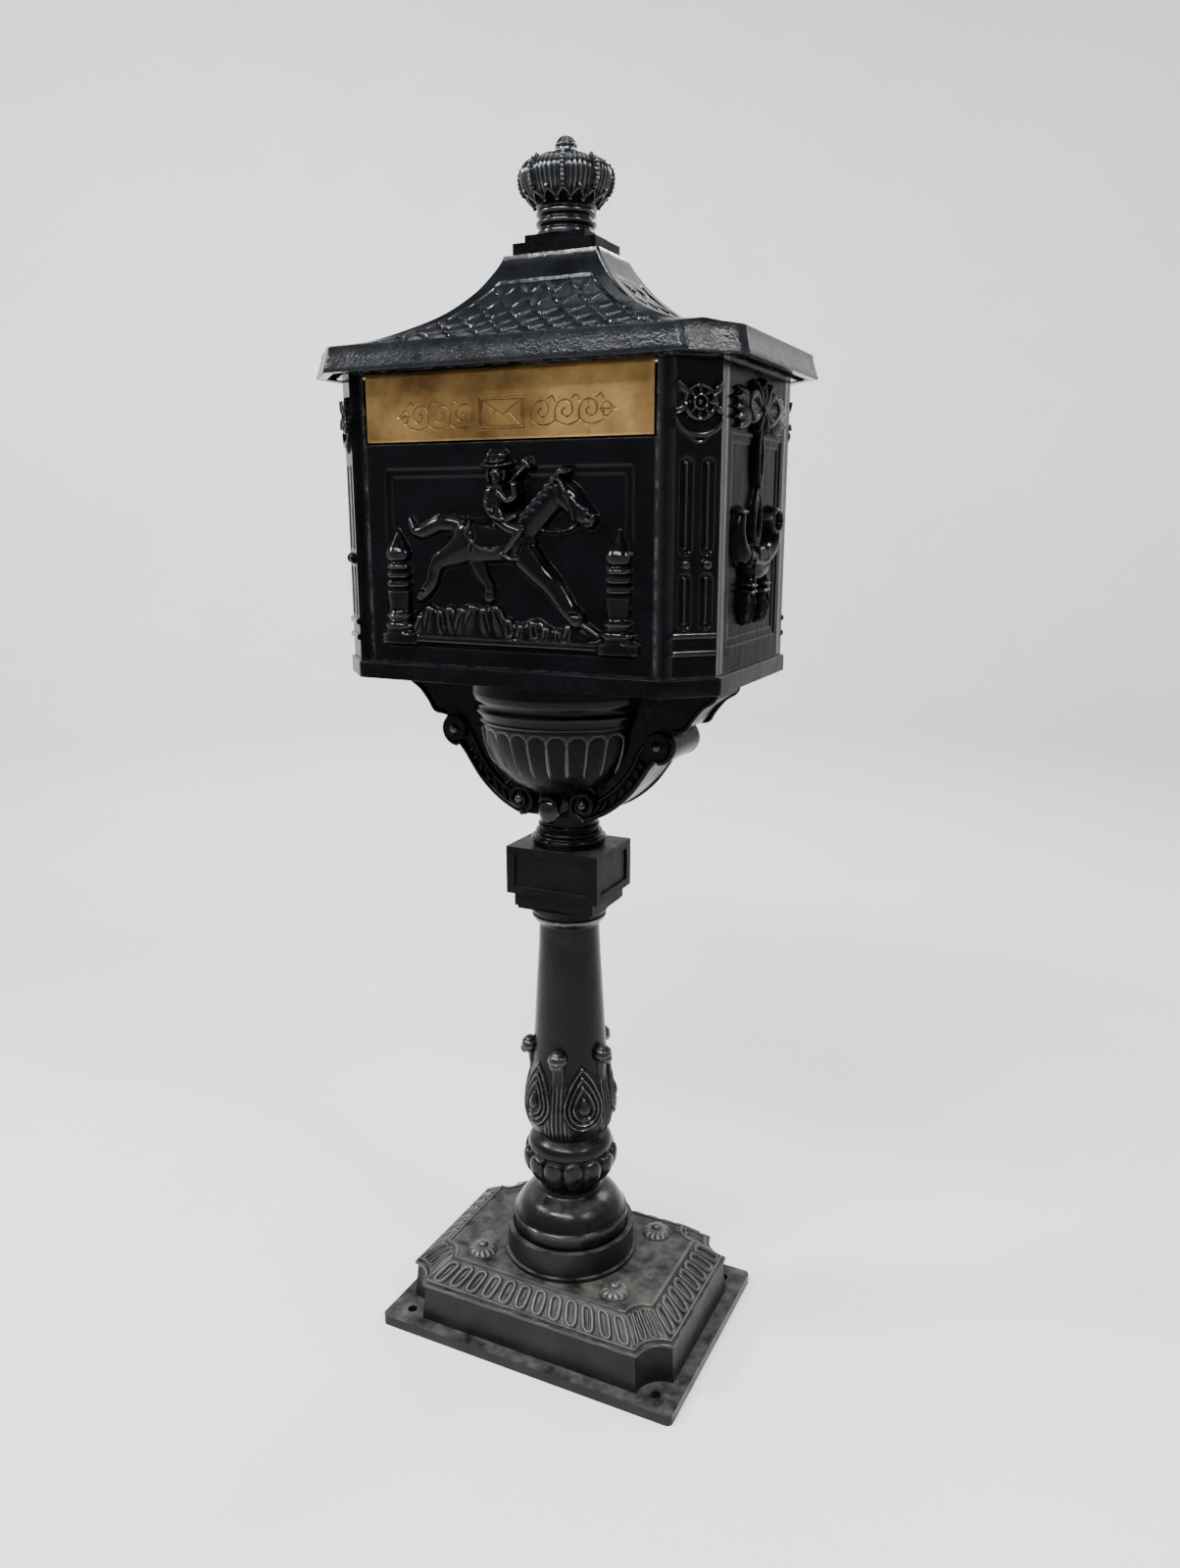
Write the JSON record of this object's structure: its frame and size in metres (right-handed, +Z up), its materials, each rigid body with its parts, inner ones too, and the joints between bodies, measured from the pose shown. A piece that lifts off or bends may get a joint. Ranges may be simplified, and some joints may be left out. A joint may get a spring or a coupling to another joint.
{
  "type": "pedestal letterbox",
  "caption": "Free-standing cast pedestal letterbox: canted box with hinged brass letter flap, locking rear door, hipped roof with crown finial, scroll bracket, turned column and fixing plate.",
  "frame": {"origin": "centre of the base underside, on the ground", "axes": "+X to the right along the front, -Y out of the front, +Z up"},
  "size_m": [0.406, 0.276, 1.15],
  "materials": {
    "black_casting": "gloss black paint over cast aluminium",
    "dusty_casting": "satin black paint over cast aluminium, dusty",
    "brass": "tarnished rolled brass",
    "zinc_steel": "zinc plated",
    "lock_metal": "nickel plated"
  },
  "bodies": {
    "housing": {"base_plinth": "dusty_casting", "column": "dusty_casting", "capital": "dusty_casting", "bracket": "black_casting", "floor_tray": "black_casting", "front_panel": "black_casting", "side_panel_left": "black_casting", "side_panel_right": "black_casting", "corner_post_front_left": "black_casting", "corner_post_front_right": "black_casting", "corner_post_rear_left": "black_casting", "corner_post_rear_right": "black_casting", "rear_frame": "black_casting", "hinge_frame_leaves": "black_casting", "door_hinge_pins": "zinc_steel", "hinge_frame_screws": "zinc_steel", "flap_pin": "brass", "roof": "black_casting", "roof_cap": "black_casting", "crown": "black_casting", "crown_knob": "black_casting", "crown_stud": "zinc_steel", "crown_washer": "zinc_steel", "crown_nut": "zinc_steel", "tie_rod": "zinc_steel", "tie_rod_washers": "zinc_steel", "tie_rod_nuts": "zinc_steel", "bracket_bolts": "zinc_steel", "post_screws": "zinc_steel", "panel_cleats": "zinc_steel", "panel_screws": "zinc_steel", "roof_cleats": "zinc_steel", "roof_screws": "zinc_steel"},
    "flap": {"letter_flap": "brass"},
    "door": {"rear_door": "black_casting", "hinge_door_leaves": "black_casting", "hinge_door_screws": "zinc_steel", "lock_housing": "lock_metal", "lock_nut": "zinc_steel"},
    "lock": {"lock_plug": "lock_metal", "lock_cam": "zinc_steel", "lock_cam_screw": "zinc_steel"}
  },
  "joints": [
    {"name": "flap_hinge", "type": "hinge", "parent": "housing", "child": "flap", "pos_m": [0, -0.1162, 0.9475], "axis": [1, 0, 0], "range_deg": [0, 75]},
    {"name": "door_hinge", "type": "hinge", "parent": "housing", "child": "door", "pos_m": [-0.11125, 0.1218, 0.828], "axis": [0, 0, 1], "range_deg": [0, 110]},
    {"name": "lock_turn", "type": "hinge", "parent": "door", "child": "lock", "pos_m": [0.092, 0.118, 0.828], "axis": [0, 1, 0], "range_deg": [0, 90]}
  ]
}
